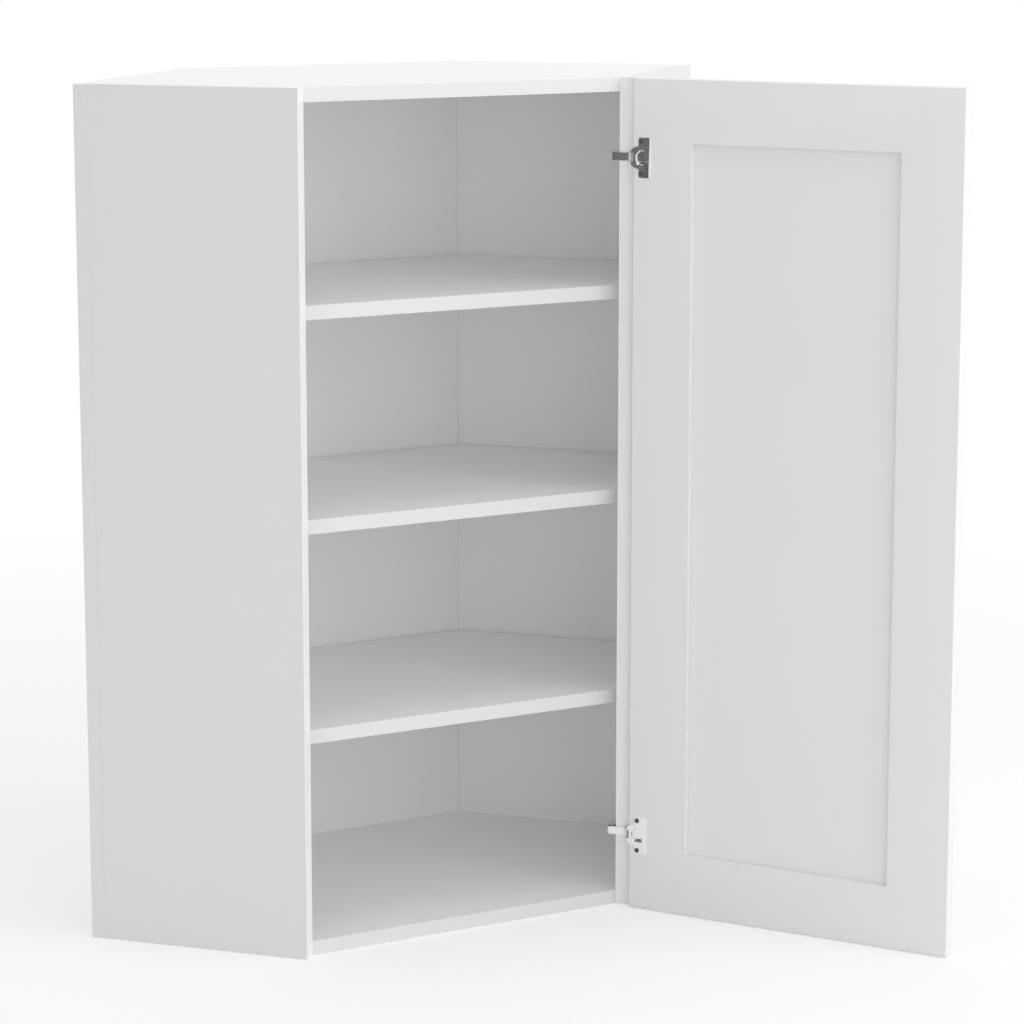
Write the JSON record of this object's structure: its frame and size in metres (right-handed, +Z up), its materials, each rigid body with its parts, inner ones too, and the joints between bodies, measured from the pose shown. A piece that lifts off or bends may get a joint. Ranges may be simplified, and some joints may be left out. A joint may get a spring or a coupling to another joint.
{
  "type": "corner wall cabinet",
  "caption": "Tall diagonal corner wall cabinet with a clipped back corner, loose shelves and a frame-and-panel door on concealed hinges.",
  "frame": {"origin": "under the middle of the bottom panel, on the cabinet's line of symmetry, at the underside", "axes": "+Z up; the diagonal front faces -Y; +Y points to the room's corner; +X to the right seen from the front, the hinge side"},
  "size_m": [0.9168, 0.795, 1.0668],
  "materials": {
    "carcass_board": "white satin foil on board",
    "shelf_board": "white satin foil on board",
    "end_panel_paint": "white satin paint, matched to the door",
    "edge_band": "white satin edge band",
    "door_lacquer": "white satin lacquer",
    "hinge_nickel": "nickel-plated pressed steel",
    "screw_steel": "dark zinc-plated steel",
    "support_zinc": "bright zinc-plated steel"
  },
  "bodies": {
    "cabinet": {"bottom_edge_band": "edge_band", "bottom_panel": "carcass_board", "corner_back_panel": "carcass_board", "hinge_plate_screws": "screw_steel", "left_back_panel": "carcass_board", "left_end_edge_band": "edge_band", "left_end_panel": "end_panel_paint", "lower_hinge_arm": "hinge_nickel", "lower_hinge_mounting_plate": "hinge_nickel", "lower_shelf": "shelf_board", "lower_shelf_edge_band": "edge_band", "lower_shelf_supports": "support_zinc", "middle_shelf": "shelf_board", "middle_shelf_edge_band": "edge_band", "middle_shelf_supports": "support_zinc", "right_back_panel": "carcass_board", "right_end_edge_band": "edge_band", "right_end_panel": "end_panel_paint", "top_edge_band": "edge_band", "top_panel": "carcass_board", "upper_hinge_arm": "hinge_nickel", "upper_hinge_mounting_plate": "hinge_nickel", "upper_shelf": "shelf_board", "upper_shelf_edge_band": "edge_band", "upper_shelf_supports": "support_zinc"},
    "door": {"door_bottom_rail": "door_lacquer", "door_center_panel": "door_lacquer", "door_hinge_stile": "door_lacquer", "door_latch_stile": "door_lacquer", "door_top_rail": "door_lacquer", "hinge_cup_screws": "screw_steel", "lower_hinge_cup": "hinge_nickel", "lower_hinge_pin": "hinge_nickel", "upper_hinge_cup": "hinge_nickel", "upper_hinge_pin": "hinge_nickel"}
  },
  "joints": [
    {"name": "door_swing", "type": "hinge", "parent": "cabinet", "child": "door", "pos_m": [0.22251, -0.21397, 0.5334], "axis": [0, 0, 1], "range_deg": [-125.3, 0]}
  ]
}
